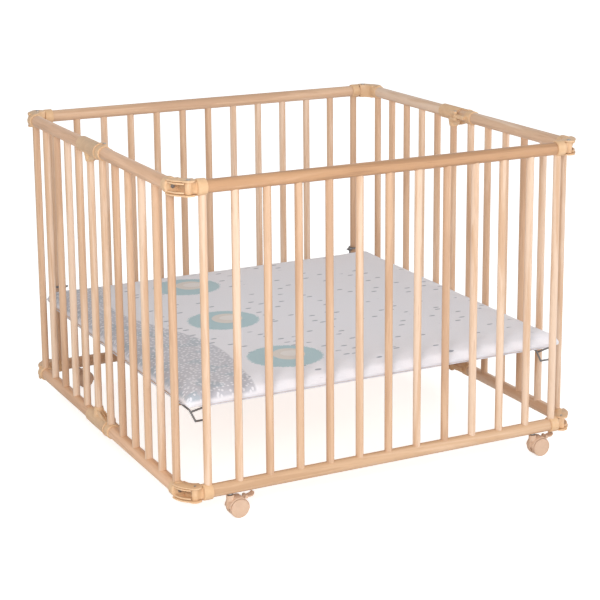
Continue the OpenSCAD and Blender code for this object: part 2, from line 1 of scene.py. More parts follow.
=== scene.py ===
"""The looks of a folding playpen: lacquered beech, moulded cream fittings and a padded floor.

Metres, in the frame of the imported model: X along the front, Y to the back, Z up.
"""
import json
import math

import bmesh
import bpy
from mathutils import Matrix, Vector


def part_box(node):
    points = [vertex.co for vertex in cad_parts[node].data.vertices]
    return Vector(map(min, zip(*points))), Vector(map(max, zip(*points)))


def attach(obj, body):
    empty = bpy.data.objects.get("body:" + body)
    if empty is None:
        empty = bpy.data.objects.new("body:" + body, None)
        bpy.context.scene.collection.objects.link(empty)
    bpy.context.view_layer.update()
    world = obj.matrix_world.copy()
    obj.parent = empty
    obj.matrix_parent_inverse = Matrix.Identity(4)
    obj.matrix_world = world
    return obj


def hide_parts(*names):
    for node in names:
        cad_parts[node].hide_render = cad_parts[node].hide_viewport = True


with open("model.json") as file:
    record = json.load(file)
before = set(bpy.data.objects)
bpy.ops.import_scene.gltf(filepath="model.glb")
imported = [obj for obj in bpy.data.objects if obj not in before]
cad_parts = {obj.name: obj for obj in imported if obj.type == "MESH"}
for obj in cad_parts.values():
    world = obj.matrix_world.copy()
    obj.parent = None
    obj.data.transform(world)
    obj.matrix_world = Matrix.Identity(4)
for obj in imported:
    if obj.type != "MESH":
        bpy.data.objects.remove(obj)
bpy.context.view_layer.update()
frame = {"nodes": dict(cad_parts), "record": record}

NODES = frame["nodes"]
SCENE = bpy.context.scene

# ---------- the pen's main places, read from the frame ----------

RAIL_LOW, RAIL_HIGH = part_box("front_top_rail")
FRONT_Y = (RAIL_LOW.y + RAIL_HIGH.y) / 2
RAIL_R = (RAIL_HIGH.z - RAIL_LOW.z) / 2
TOP_Z = (RAIL_HIGH.z + RAIL_LOW.z) / 2
SIDE_X = -(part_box("left_rear_rails")[0].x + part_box("left_rear_rails")[1].x) / 2
BARS_LOW, BARS_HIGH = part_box("front_bars")
BAR_R = (BARS_HIGH.y - BARS_LOW.y) / 2
LONG_BARS = 13
HALF_BARS = 6
BAR_PITCH = (BARS_HIGH.x - BARS_LOW.x - 2 * BAR_R) / (LONG_BARS - 1)
FIRST_BAR_X = BARS_LOW.x + BAR_R
SIDE_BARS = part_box("left_rear_bars")
FIRST_SIDE_BAR_Y = SIDE_BARS[0].y + BAR_R
SIDE_PITCH = (SIDE_BARS[1].y - SIDE_BARS[0].y - 2 * BAR_R) / (HALF_BARS - 1)

# ---------- finishes ----------

BEECH_LIGHT = (0.80, 0.595, 0.445)
BEECH_MID = (0.69, 0.455, 0.295)
BEECH_DARK = (0.50, 0.29, 0.175)
CREAM = (0.76, 0.50, 0.29)
CREAM_DEEP = (0.62, 0.38, 0.20)
CASTER_BEIGE = (0.68, 0.47, 0.335)
CASTER_DEEP = (0.54, 0.35, 0.24)
STEEL_GREY = (0.46, 0.46, 0.47)
# Caster stems: steel whose grey is darkened to a dark brown as painted shade for the shadowed gap under the
# rails
STEEL_PAINTED_SHADE = (0.20, 0.17, 0.15)
WIRE_GREY = (0.27, 0.27, 0.28)
COVER_WHITE = (0.83, 0.83, 0.885)
HILL_GREY = (0.50, 0.51, 0.57)
HILL_BLUE = (0.34, 0.43, 0.50)
POND_TEAL = (0.36, 0.55, 0.60)
POND_SAND = (0.74, 0.67, 0.61)
PALE_SAND = (0.86, 0.83, 0.82)
DASH_BLUE = (0.16, 0.19, 0.26)
COVER_CLOUD = (0.84, 0.82, 0.86)
HILL_SPECKLE = (0.62, 0.60, 0.64)
HILL_DOTS = (0.90, 0.90, 0.95)
POND_GLINT = (0.50, 0.66, 0.70)
WELT_LIGHT = (0.72, 0.72, 0.77)
WELT_DARK = (0.62, 0.62, 0.68)
RUBBED_PLASTIC = (0.97, 0.90, 0.80)
WORN_EDGE = (0.95, 0.86, 0.74)
STEEL_SPOTS = (0.16, 0.15, 0.14)


def rgba(colour):
    return (*colour, 1.0)


class Nodes:
    """Short ways to add and join shader nodes in one tree."""

    def __init__(self, tree):
        self.tree = tree

    def add(self, kind, **settings):
        node = self.tree.nodes.new(kind)
        for name, value in settings.items():
            setattr(node, name, value)
        return node

    def link(self, source, target):
        self.tree.links.new(source, target)

    def feed(self, socket, value):
        if isinstance(value, bpy.types.NodeSocket):
            self.link(value, socket)
        else:
            socket.default_value = value

    def math(self, operation, a, b=0.0, c=0.0, clamp=False):
        node = self.add("ShaderNodeMath", operation=operation, use_clamp=clamp)
        for socket, value in zip(node.inputs, (a, b, c)):
            self.feed(socket, value)
        return node.outputs[0]

    def vector(self, operation, a, b=(0.0, 0.0, 0.0)):
        node = self.add("ShaderNodeVectorMath", operation=operation)
        self.feed(node.inputs[0], a)
        self.feed(node.inputs[1], b)
        return node

    def mix(self, factor, a, b, blend="MIX"):
        node = self.add("ShaderNodeMix", data_type="RGBA", blend_type=blend)
        self.feed(node.inputs[0], factor)
        self.feed(node.inputs[6], a)
        self.feed(node.inputs[7], b)
        return node.outputs[2]

    def noise(self, vector, scale, detail=4.0, roughness=0.55, distortion=0.0):
        node = self.add("ShaderNodeTexNoise")
        self.feed(node.inputs["Vector"], vector)
        node.inputs["Scale"].default_value = scale
        node.inputs["Detail"].default_value = detail
        node.inputs["Roughness"].default_value = roughness
        node.inputs["Distortion"].default_value = distortion
        return node.outputs["Fac"]

    def remap(self, value, low, high, out_low=0.0, out_high=1.0, smooth=True):
        node = self.add("ShaderNodeMapRange")
        node.interpolation_type = "SMOOTHSTEP" if smooth else "LINEAR"
        self.feed(node.inputs[0], value)
        for socket, number in zip(node.inputs[1:5], (low, high, out_low, out_high)):
            self.feed(socket, number)
        return node.outputs[0]


def new_group(name, inputs, outputs):
    """An empty node group with those sockets, and its Nodes, its inputs and its output node."""
    group = bpy.data.node_groups.new(name, "ShaderNodeTree")
    for label, kind, value in inputs:
        socket = group.interface.new_socket(label, in_out="INPUT", socket_type="NodeSocket" + kind)
        if value is not None:
            socket.default_value = value
    for label, kind in outputs:
        group.interface.new_socket(label, in_out="OUTPUT", socket_type="NodeSocket" + kind)
    n = Nodes(group)
    return group, n, n.add("NodeGroupInput").outputs, n.add("NodeGroupOutput").inputs


def make_piece_tone():
    """A number from 0 to 1 that differs from one bar of a row to the next."""
    group, n, given, out = new_group(
        "piece tone",
        [("Along", "Float", None), ("First", "Float", 0.0), ("Pitch", "Float", 0.1), ("Seed", "Float", 0.0)],
        [("Tone", "Float")],
    )
    steps = n.math("DIVIDE", n.math("SUBTRACT", given["Along"], given["First"]), given["Pitch"])
    number = n.math("ADD", n.math("ROUND", steps), given["Seed"])
    white = n.add("ShaderNodeTexWhiteNoise", noise_dimensions="1D")
    n.link(number, white.inputs["W"])
    n.link(white.outputs["Value"], out["Tone"])
    return group


def make_beech_grain():
    """Beech under lacquer: long soft bands, short dark flecks and fine pores along one axis."""
    group, n, given, out = new_group(
        "beech grain",
        [("Vector", "Vector", None), ("Tone", "Float", 0.5), ("Light", "Color", rgba(BEECH_LIGHT)),
         ("Middle", "Color", rgba(BEECH_MID)), ("Dark", "Color", rgba(BEECH_DARK))],
        [("Color", "Color"), ("Roughness", "Float"), ("Height", "Float")],
    )
    shift = n.math("MULTIPLY", given["Tone"], 7.3)
    moved = n.vector("ADD", given["Vector"], shift).outputs[0]
    bands = n.noise(moved, 34.0, detail=3.0, distortion=1.2)
    fine = n.noise(moved, 190.0, detail=5.0, roughness=0.65, distortion=0.4)
    pores = n.noise(moved, 620.0, detail=2.0)
    fleck = n.remap(n.noise(moved, 330.0, detail=1.0), 0.63, 0.76)
    tone = n.remap(given["Tone"], 0.0, 1.0, -0.42, 0.58, smooth=False)
    depth = n.math("ADD", n.remap(bands, 0.30, 0.74), tone)
    depth = n.math("ADD", depth, n.remap(fine, 0.3, 0.7, -0.14, 0.16), clamp=True)
    colour = n.mix(n.remap(depth, 0.0, 0.55), given["Light"], given["Middle"])
    colour = n.mix(n.remap(depth, 0.62, 1.25, 0.0, 0.75), colour, given["Dark"])
    colour = n.mix(n.math("MULTIPLY", fleck, 0.30), colour, given["Dark"])
    n.link(colour, out["Color"])
    n.link(n.remap(pores, 0.3, 0.8, 0.30, 0.46), out["Roughness"])
    rise = n.math("SUBTRACT", n.math("MULTIPLY", fine, 0.5), n.math("MULTIPLY", fleck, 0.35))
    n.link(n.math("ADD", rise, n.math("MULTIPLY", pores, 0.2)), out["Height"])
    return group


def make_moulded_skin():
    """Injection-moulded plastic: cloudy colour, a fine texture and rubbed spots."""
    group, n, given, out = new_group(
        "moulded skin",
        [("Vector", "Vector", None), ("Color", "Color", rgba(CREAM)), ("Deep", "Color", rgba(CREAM_DEEP)),
         ("Gloss", "Float", 0.42)],
        [("Color", "Color"), ("Roughness", "Float"), ("Height", "Float")],
    )
    cloud = n.noise(given["Vector"], 55.0, detail=3.0)
    speck = n.noise(given["Vector"], 900.0, detail=2.0)
    rubbed = n.remap(n.noise(given["Vector"], 140.0, detail=4.0), 0.56, 0.72)
    colour = n.mix(n.remap(cloud, 0.35, 0.75, 0.0, 0.42), given["Color"], given["Deep"])
    colour = n.mix(n.math("MULTIPLY", rubbed, 0.10), colour, rgba(RUBBED_PLASTIC))
    n.link(colour, out["Color"])
    rough = n.math("ADD", given["Gloss"], n.remap(speck, 0.3, 0.7, -0.05, 0.07))
    n.link(n.math("ADD", rough, n.math("MULTIPLY", rubbed, 0.10)), out["Roughness"])
    n.link(n.math("ADD", n.math("MULTIPLY", speck, 0.5), n.math("MULTIPLY", cloud, 0.6)), out["Height"])
    return group


def make_edge_wear():
    """A mask of the outer edges of a piece, broken up by noise."""
    group, n, given, out = new_group(
        "edge wear", [("Vector", "Vector", None), ("Amount", "Float", 0.5)], [("Mask", "Float")]
    )
    edge = n.remap(n.add("ShaderNodeNewGeometry").outputs["Pointiness"], 0.51, 0.60)
    broken = n.remap(n.noise(given["Vector"], 260.0, detail=5.0), 0.40, 0.62)
    n.link(n.math("MULTIPLY", n.math("MULTIPLY", edge, broken), given["Amount"]), out["Mask"])
    return group


def make_drawn_steel():
    """Zinc-plated steel: faint streaks, dull patches and darker spots."""
    group, n, given, out = new_group(
        "drawn steel",
        [("Vector", "Vector", None), ("Color", "Color", rgba(STEEL_GREY))],
        [("Color", "Color"), ("Roughness", "Float"), ("Height", "Float")],
    )
    streak = n.noise(given["Vector"], 420.0, detail=3.0)
    patch = n.noise(given["Vector"], 60.0, detail=4.0)
    spots = n.remap(patch, 0.55, 0.75, 0.0, 0.35)
    n.link(n.mix(spots, given["Color"], rgba(STEEL_SPOTS)), out["Color"])
    rough = n.remap(streak, 0.3, 0.7, 0.24, 0.40)
    n.link(n.math("ADD", rough, n.math("MULTIPLY", spots, 0.4)), out["Roughness"])
    n.link(streak, out["Height"])
    return group


def make_soft_spot():
    """The mask of an oval at a place in the plane, with a slightly ragged edge."""
    group, n, given, out = new_group(
        "soft spot",
        [("Vector", "Vector", None), ("Centre", "Vector", (0, 0, 0)), ("Radii", "Vector", (0.1, 0.1, 1)),
         ("Turn", "Float", 0.0), ("Ragged", "Float", 0.04)],
        [("Mask", "Float")],
    )
    turned = n.add("ShaderNodeVectorRotate", rotation_type="Z_AXIS")
    n.link(n.vector("SUBTRACT", given["Vector"], given["Centre"]).outputs[0], turned.inputs["Vector"])
    n.link(given["Turn"], turned.inputs["Angle"])
    flat = n.vector("MULTIPLY", turned.outputs[0], (1.0, 1.0, 0.0)).outputs[0]
    size = n.vector("LENGTH", n.vector("DIVIDE", flat, given["Radii"]).outputs[0]).outputs["Value"]
    rag = n.math("MULTIPLY", n.math("SUBTRACT", n.noise(given["Vector"], 300.0), 0.5), given["Ragged"])
    n.link(n.remap(n.math("ADD", size, rag), 0.98, 1.02, 1.0, 0.0), out["Mask"])
    return group


def make_weave():
    """Fine plain weave, with a height for bump and a shade for the threads."""
    group, n, given, out = new_group(
        "weave",
        [("Vector", "Vector", None), ("Threads", "Float", 900.0)],
        [("Height", "Float"), ("Shade", "Float")],
    )
    parts = n.add("ShaderNodeSeparateXYZ")
    n.link(given["Vector"], parts.inputs[0])
    warp = n.math("SINE", n.math("MULTIPLY", parts.outputs[0], given["Threads"]))
    weft = n.math("SINE", n.math("MULTIPLY", parts.outputs[1], given["Threads"]))
    height = n.math("MULTIPLY", n.math("MULTIPLY", warp, weft), 0.5)
    slub = n.noise(given["Vector"], 700.0, detail=3.0)
    n.link(n.math("ADD", height, slub), out["Height"])
    n.link(n.remap(slub, 0.3, 0.7, 0.94, 1.05), out["Shade"])
    return group


PIECE_TONE = make_piece_tone()
BEECH_GRAIN = make_beech_grain()
MOULDED_SKIN = make_moulded_skin()
EDGE_WEAR = make_edge_wear()
DRAWN_STEEL = make_drawn_steel()
SOFT_SPOT = make_soft_spot()
WEAVE = make_weave()


class Finish(Nodes):
    """A new material with its shader and Object coordinates ready."""

    def __init__(self, name):
        self.material = bpy.data.materials.new(name)
        self.material.use_nodes = True
        super().__init__(self.material.node_tree)
        self.shader = next(node for node in self.tree.nodes if node.type == "BSDF_PRINCIPLED")
        self.coords = self.add("ShaderNodeTexCoord").outputs["Object"]

    def group(self, group, **values):
        node = self.add("ShaderNodeGroup", node_tree=group)
        for label, value in values.items():
            self.feed(node.inputs[label], value)
        return node.outputs

    def mapped(self, scale, place=(0, 0, 0)):
        node = self.add("ShaderNodeMapping")
        self.link(self.coords, node.inputs["Vector"])
        node.inputs["Scale"].default_value = scale
        node.inputs["Location"].default_value = place
        return node.outputs[0]

    def spot(self, centre, radii, ragged):
        place = dict(Centre=centre, Radii=radii, Turn=POND_TURN, Ragged=ragged)
        return self.group(SOFT_SPOT, Vector=self.coords, **place)["Mask"]

    def surface(self, colour, roughness, height, strength, distance=0.0004):
        self.feed(self.shader.inputs["Base Color"], colour)
        self.feed(self.shader.inputs["Roughness"], roughness)
        bump = self.add("ShaderNodeBump")
        bump.inputs["Strength"].default_value = strength
        bump.inputs["Distance"].default_value = distance
        self.feed(bump.inputs["Height"], height)
        self.link(bump.outputs[0], self.shader.inputs["Normal"])


def beech(name, along, row=None, seed=0.0, light=BEECH_LIGHT, middle=BEECH_MID, dark=BEECH_DARK):
    """Lacquered beech with its grain along an axis. row is (axis, first, pitch) of a row of bars."""
    finish = Finish(name)
    stretch = [1.0, 1.0, 1.0]
    stretch[along] = 0.055
    split = finish.add("ShaderNodeSeparateXYZ")
    finish.link(finish.coords, split.inputs[0])
    axis, first, pitch = row if row else (2, 0.0, 0.339)
    tone = finish.group(PIECE_TONE, Along=split.outputs[axis], First=first, Pitch=pitch, Seed=seed)["Tone"]
    grain = finish.group(
        BEECH_GRAIN, Vector=finish.mapped(tuple(stretch), (seed, seed, seed)), Tone=tone,
        Light=rgba(light), Middle=rgba(middle), Dark=rgba(dark),
    )
    finish.surface(grain["Color"], grain["Roughness"], grain["Height"], 0.28)
    finish.shader.inputs["Coat Weight"].default_value = 0.18
    finish.shader.inputs["Coat Roughness"].default_value = 0.22
    return finish.material


def moulded(name, colour, deep, gloss=0.42, wear=0.18):
    finish = Finish(name)
    skin = finish.group(MOULDED_SKIN, Vector=finish.coords, Color=rgba(colour), Deep=rgba(deep), Gloss=gloss)
    worn = finish.group(EDGE_WEAR, Vector=finish.coords, Amount=wear)["Mask"]
    colour = finish.mix(worn, skin["Color"], rgba(WORN_EDGE))
    finish.surface(colour, skin["Roughness"], skin["Height"], 0.22)
    finish.shader.inputs["Subsurface Weight"].default_value = 0.06
    finish.shader.inputs["Subsurface Radius"].default_value = (0.004, 0.003, 0.002)
    return finish.material


def steel(name, colour, stretch=(1, 1, 0.2)):
    finish = Finish(name)
    look = finish.group(DRAWN_STEEL, Vector=finish.mapped(stretch), Color=rgba(colour))
    finish.surface(look["Color"], look["Roughness"], look["Height"], 0.15)
    finish.shader.inputs["Metallic"].default_value = 0.9
    return finish.material


def board_face():
    """Plain thin board: pale, with flat grain and a rougher face."""
    finish = Finish("board")
    grain = finish.group(BEECH_GRAIN, Vector=finish.mapped((0.5, 0.03, 1.0)), Tone=0.35)
    finish.surface(grain["Color"], 0.6, grain["Height"], 0.3)
    return finish.material


POND_PLACES = ((-0.150, 0.320), (-0.190, -0.010), (-0.182, -0.340))
POND_RADII = (0.088, 0.080, 1.0)
SAND_RADII = (0.038, 0.042, 1.0)
PALE_RADII = (0.026, 0.020, 1.0)
POND_TURN = 0.30


def printed_cover():
    """The mat's printed cotton: pale ground, ponds with sandy banks, a speckled hill and dashes."""
    finish = Finish("mat_cover")
    n = finish
    threads = n.group(WEAVE, Vector=n.coords)
    split = n.add("ShaderNodeSeparateXYZ")
    n.link(n.coords, split.inputs[0])
    x, y, z = split.outputs
    facing_up = n.remap(z, MAT_TOP - 0.010, MAT_TOP - 0.003)

    cloud = n.noise(n.coords, 6.0, detail=3.0)
    colour = n.mix(n.remap(cloud, 0.3, 0.7, 0.0, 0.30), rgba(COVER_WHITE), rgba(COVER_CLOUD))

    # Dashes: stretched cells, kept only where a slow noise is high.
    cells = n.add("ShaderNodeTexVoronoi", feature="F1", voronoi_dimensions="2D")
    n.link(n.mapped((12.0, 30.0, 1.0), (0.37, 0.11, 0.0)), cells.inputs["Vector"])
    cells.inputs["Scale"].default_value = 1.0
    cells.inputs["Randomness"].default_value = 0.9
    dash = n.remap(cells.outputs["Distance"], 0.085, 0.115, 1.0, 0.0)
    kept = n.remap(n.noise(n.coords, 11.0, detail=1.0), 0.44, 0.50)
    dash = n.math("MULTIPLY", n.math("MULTIPLY", dash, kept), n.remap(x, -0.36, -0.33))
    colour = n.mix(n.math("MULTIPLY", n.math("MULTIPLY", dash, facing_up), 0.72), colour, rgba(DASH_BLUE))

    # The hill along the left side: a wavy edge, grey speckle and bluish shadows.
    wave = n.math("MULTIPLY", n.math("SINE", n.math("MULTIPLY", y, 9.0)), 0.030)
    edge = n.math("ADD", n.math("ADD", x, wave), n.remap(y, -0.45, 0.20, -0.055, 0.02, smooth=False))
    hill = n.remap(edge, -0.352, -0.344, 1.0, 0.0)
    blotch = n.remap(n.noise(n.coords, 17.0, detail=2.0), 0.50, 0.60)
    speckle = n.remap(n.noise(n.coords, 330.0, detail=2.0), 0.52, 0.58)
    dots = n.add("ShaderNodeTexVoronoi", feature="F1", voronoi_dimensions="2D")
    n.link(n.coords, dots.inputs["Vector"])
    dots.inputs["Scale"].default_value = 88.0
    white = n.remap(dots.outputs["Distance"], 0.20, 0.30, 1.0, 0.0)
    ground = n.mix(n.math("MULTIPLY", blotch, 0.75), rgba(HILL_GREY), rgba(HILL_BLUE))
    ground = n.mix(n.math("MULTIPLY", speckle, 0.28), ground, rgba(HILL_SPECKLE))
    ground = n.mix(n.math("MULTIPLY", white, 0.72), ground, rgba(HILL_DOTS))
    reach = n.remap(z, MAT_TOP - 0.016, MAT_TOP - 0.008)
    colour = n.mix(n.math("MULTIPLY", n.math("MULTIPLY", hill, reach), 0.86), colour, ground)

    # Ponds: a teal oval, a sandy one set off towards its right and a pale middle.
    for px, py in POND_PLACES:
        pond = n.spot((px, py, 0), POND_RADII, 0.30)
        sand = n.spot((px + 0.014, py + 0.010, 0), SAND_RADII, 0.03)
        pale = n.spot((px + 0.022, py + 0.012, 0), PALE_RADII, 0.12)
        glint = n.remap(n.noise(n.coords, 420.0), 0.4, 0.6, 0.0, 0.25)
        teal = n.mix(glint, rgba(POND_TEAL), rgba(POND_GLINT))
        colour = n.mix(n.math("MULTIPLY", pond, 0.92), colour, teal)
        colour = n.mix(n.math("MULTIPLY", sand, 0.95), colour, rgba(POND_SAND))
        colour = n.mix(n.math("MULTIPLY", pale, 0.55), colour, rgba(PALE_SAND))

    colour = n.mix(0.6, colour, threads["Shade"], "MULTIPLY")
    finish.surface(colour, 0.82, threads["Height"], 0.25, 0.0003)
    finish.shader.inputs["Sheen Weight"].default_value = 0.25
    finish.shader.inputs["Sheen Roughness"].default_value = 0.5
    return finish.material


def welt_cord():
    finish = Finish("welt")
    threads = finish.group(WEAVE, Vector=finish.coords, Threads=2400.0)
    tint = finish.remap(finish.noise(finish.coords, 90.0), 0.3, 0.7)
    colour = finish.mix(tint, rgba(WELT_LIGHT), rgba(WELT_DARK))
    finish.surface(colour, 0.85, threads["Height"], 0.4)
    return finish.material


# ---------- working with pieces ----------

def only(piece):
    """Selects that piece alone and makes it the active one."""
    bpy.ops.object.select_all(action="DESELECT")
    piece.select_set(True)
    bpy.context.view_layer.objects.active = piece


def apply_modifiers(piece):
    only(piece)
    for modifier in list(piece.modifiers):
        bpy.ops.object.modifier_apply(modifier=modifier.name)


def rounded_edges(piece, width, angle=40):
    edge = piece.modifiers.new("edge", "BEVEL")
    edge.width = width
    edge.segments = 2
    edge.limit_method = "ANGLE"
    edge.angle_limit = math.radians(angle)
    apply_modifiers(piece)


def dress(piece, material):
    piece.data.materials.clear()
    piece.data.materials.append(material)


def settle(piece, name, body, material):
    """Names a finished piece, bakes its place into its mesh and fastens it to its body."""
    only(piece)
    bpy.ops.object.transform_apply(location=True, rotation=True, scale=True)
    piece.name = name
    piece.data.name = name
    dress(piece, material)
    bpy.ops.object.shade_smooth_by_angle(angle=math.radians(40))
    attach(piece, body)
    return piece


def pick_faces(piece, keep):
    """Selects the faces for which keep(centre, normal) is true. Works from edit mode."""
    mesh = bmesh.from_edit_mesh(piece.data)
    for face in mesh.faces:
        face.select_set(bool(keep(face.calc_center_median(), face.normal)))
    mesh.select_flush_mode()
    bmesh.update_edit_mesh(piece.data)


def pick_edges(piece, keep):
    """Selects the edges for which keep(start, end) is true. Works from edit mode."""
    mesh = bmesh.from_edit_mesh(piece.data)
    for element in list(mesh.verts) + list(mesh.edges) + list(mesh.faces):
        element.select = False
    for edge in mesh.edges:
        edge.select_set(bool(keep(edge.verts[0].co, edge.verts[1].co)))
    mesh.select_flush(True)
    bmesh.update_edit_mesh(piece.data)


# ---------- the padded mat ----------

MAT_LOW, MAT_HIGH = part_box("mat")
MAT_TOP = MAT_HIGH.z
BOARD_LOW, BOARD_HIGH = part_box("floor_board")
MAT_CORNER = 0.060
MAT_EDGE = 0.008
MAT_RIM = 0.006
SWELL_ROOM = 0.003
PUFF = 0.0075
FILL_PRESSURE = 4.0
FILL_FRAMES = 20
FINE_VOXEL = 0.0075
CROWN = 0.0030
RIPPLE = 0.0007
WELT_INSET = 0.0022
WELT_RISE = 0.0030
WELT_R = 0.0014


def mat_blank():
    """The mat before it is filled: a rounded slab with a pocket for the board underneath."""
    bpy.ops.object.select_all(action="DESELECT")
    middle = (MAT_LOW + MAT_HIGH) / 2
    bpy.ops.mesh.primitive_cube_add(size=1, location=middle)
    piece = bpy.context.object
    piece.dimensions = (
        MAT_HIGH.x - MAT_LOW.x - 2 * SWELL_ROOM,
        MAT_HIGH.y - MAT_LOW.y - 2 * SWELL_ROOM,
        MAT_HIGH.z - MAT_LOW.z - SWELL_ROOM,
    )
    bpy.ops.object.transform_apply(location=True, rotation=True, scale=True)
    low, high = min(v.co.z for v in piece.data.vertices), max(v.co.z for v in piece.data.vertices)
    bpy.ops.object.mode_set(mode="EDIT")
    pick_edges(piece, lambda a, b: abs(a.z - b.z) > 0.01)
    bpy.ops.mesh.bevel(offset=MAT_CORNER, segments=10, affect="EDGES")
    pick_edges(piece, lambda a, b: a.z > high - 1e-4 and b.z > high - 1e-4)
    bpy.ops.mesh.bevel(offset=MAT_EDGE, segments=4, affect="EDGES")
    pick_edges(piece, lambda a, b: a.z < low + 1e-4 and b.z < low + 1e-4)
    bpy.ops.mesh.bevel(offset=MAT_EDGE / 3, segments=2, affect="EDGES")
    pick_faces(piece, lambda centre, normal: normal.z < -0.99)
    bpy.ops.mesh.inset(thickness=MAT_RIM, use_even_offset=True)
    bpy.ops.transform.translate(value=(0, 0, BOARD_HIGH.z - BOARD_LOW.z + 0.0006))
    bpy.ops.object.mode_set(mode="OBJECT")
    return piece


def fill_mat(blank):
    """Swells the blank as cloth under pressure, and lets no point go further than PUFF."""
    only(blank)
    remesh = blank.modifiers.new("remesh", "REMESH")
    remesh.mode = "VOXEL"
    remesh.voxel_size = FINE_VOXEL
    apply_modifiers(blank)
    before = [v.co.copy() for v in blank.data.vertices]
    cloth = blank.modifiers.new("cloth", "CLOTH")
    cloth.settings.use_pressure = True
    cloth.settings.uniform_pressure_force = FILL_PRESSURE
    cloth.settings.quality = 4
    cloth.settings.effector_weights.gravity = 0.0
    cloth.collision_settings.use_collision = False
    cloth.point_cache.frame_start = 1
    cloth.point_cache.frame_end = FILL_FRAMES
    for step in range(1, FILL_FRAMES + 1):
        SCENE.frame_set(step)
    apply_modifiers(blank)
    pocket = BOARD_HIGH.z
    for vertex, old in zip(blank.data.vertices, before):
        free = min(1.0, max(0.0, (old.z - pocket - 0.001) / 0.010))
        move = vertex.co - old
        if move.length > PUFF:
            move *= PUFF / move.length
        vertex.co = old + move * free
    SCENE.frame_set(1)


def crown_and_dimples(piece):
    """Lifts the middle of the mat and gives its top slow, shallow waves."""
    half_x, half_y = MAT_HIGH.x, (MAT_HIGH.y - MAT_LOW.y) / 2
    middle_y = (MAT_HIGH.y + MAT_LOW.y) / 2
    for vertex in piece.data.vertices:
        if vertex.co.z < BOARD_HIGH.z + 0.008:
            continue
        u = vertex.co.x / half_x
        v = (vertex.co.y - middle_y) / half_y
        crown = max(0.0, (1 - u * u) * (1 - v * v))
        along = math.sin(u * 7.3 + 1.9 * math.sin(v * 3.1))
        ripple = 0.5 * along * math.sin(v * 6.1 + 1.2 * math.cos(u * 4.7))
        vertex.co.z += CROWN * crown ** 0.5 + RIPPLE * ripple * crown


def outline_loop(inset, z, points_per_corner=14):
    """Points round the mat, inset from its box."""
    x0, x1 = MAT_LOW.x + inset, MAT_HIGH.x - inset
    y0, y1 = MAT_LOW.y + inset, MAT_HIGH.y - inset
    r = MAT_CORNER - inset
    xa, xb, ya, yb = x0 + r, x1 - r, y0 + r, y1 - r
    centres = ((xb, yb, 0), (xa, yb, 90), (xa, ya, 180), (xb, ya, 270))
    points = []
    for cx, cy, start in centres:
        for k in range(points_per_corner + 1):
            a = math.radians(start + 90 * k / points_per_corner)
            points.append(Vector((cx + r * math.cos(a), cy + r * math.sin(a), z)))
    return points


def mat_welt(name, inset, z, radius):
    """A sewn welt round the mat's lower edge."""
    curve = bpy.data.curves.new(name, "CURVE")
    curve.dimensions = "3D"
    curve.bevel_depth = radius
    curve.bevel_resolution = 3
    spline = curve.splines.new("POLY")
    points = outline_loop(inset, z)
    spline.points.add(len(points) - 1)
    for point, place in zip(spline.points, points):
        point.co = (*place, 1.0)
    spline.use_cyclic_u = True
    piece = bpy.data.objects.new(name, curve)
    SCENE.collection.objects.link(piece)
    only(piece)
    bpy.ops.object.convert(target="MESH")
    return settle(bpy.context.object, name, "floor", WELT)


WELT = welt_cord()
MAT_COVER = printed_cover()


def make_mat():
    pad = mat_blank()
    fill_mat(pad)
    crown_and_dimples(pad)
    settle(pad, "padded_mat", "floor", MAT_COVER)
    for polygon in pad.data.polygons:
        polygon.use_smooth = True
    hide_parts("mat")
    mat_welt("mat_lower_welt", WELT_INSET, MAT_LOW.z + WELT_RISE, WELT_R)


# ---------- finishes on the carried-over pieces ----------

def softened(node, name, width, body, material):
    """A moulded piece: the working shape with its sharp edges rounded."""
    piece = bpy.data.objects.new(name, NODES[node].data.copy())
    SCENE.collection.objects.link(piece)
    only(piece)
    bpy.ops.object.mode_set(mode="EDIT")
    bpy.ops.mesh.select_all(action="SELECT")
    bpy.ops.mesh.remove_doubles(threshold=0.00002)
    bpy.ops.mesh.dissolve_limited(angle_limit=math.radians(0.6))
    bpy.ops.object.mode_set(mode="OBJECT")
    rounded_edges(piece, width, angle=34)
    settle(piece, name, body, material)
    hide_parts(node)
    return piece


# Rails are cut from different boards, so three of them have a tone of their own.
GOLDEN = dict(light=(0.62, 0.37, 0.215), middle=(0.55, 0.31, 0.165), dark=(0.36, 0.19, 0.095))
HONEY = dict(light=(0.74, 0.51, 0.34), middle=(0.65, 0.42, 0.255), dark=(0.46, 0.26, 0.14))
ROSY = dict(light=(0.84, 0.525, 0.325), middle=(0.74, 0.44, 0.255), dark=(0.52, 0.285, 0.145))


def finish_rails_and_bars():
    vertical, along_y, along_x = 2, 1, 0
    dress(NODES["front_top_rail"], beech("front_top_rail_beech", along_x, seed=3.0, **GOLDEN))
    dress(NODES["front_bottom_rail"], beech("front_bottom_rail_beech", along_x, seed=5.0, **HONEY))
    dress(NODES["back_top_rail"], beech("back_top_rail_beech", along_x, seed=8.0))
    dress(NODES["back_bottom_rail"], beech("back_bottom_rail_beech", along_x, seed=9.0))
    row = (0, FIRST_BAR_X, BAR_PITCH)
    dress(NODES["front_bars"], beech("front_bars_beech", vertical, row, seed=11.0))
    dress(NODES["back_bars"], beech("back_bars_beech", vertical, row, seed=31.0))
    side_row = (1, FIRST_SIDE_BAR_Y, SIDE_PITCH)
    for k, (side, half) in enumerate((s, h) for s in ("left", "right") for h in ("front", "rear")):
        tones = ROSY if side == "left" else {}
        rails = beech(f"{side}_{half}_rails_beech", along_y, seed=40.0 + 3 * k, **tones)
        dress(NODES[f"{side}_{half}_rails"], rails)
        bars = beech(f"{side}_{half}_bars_beech", vertical, side_row, seed=60.0 + 7 * k)
        dress(NODES[f"{side}_{half}_bars"], bars)


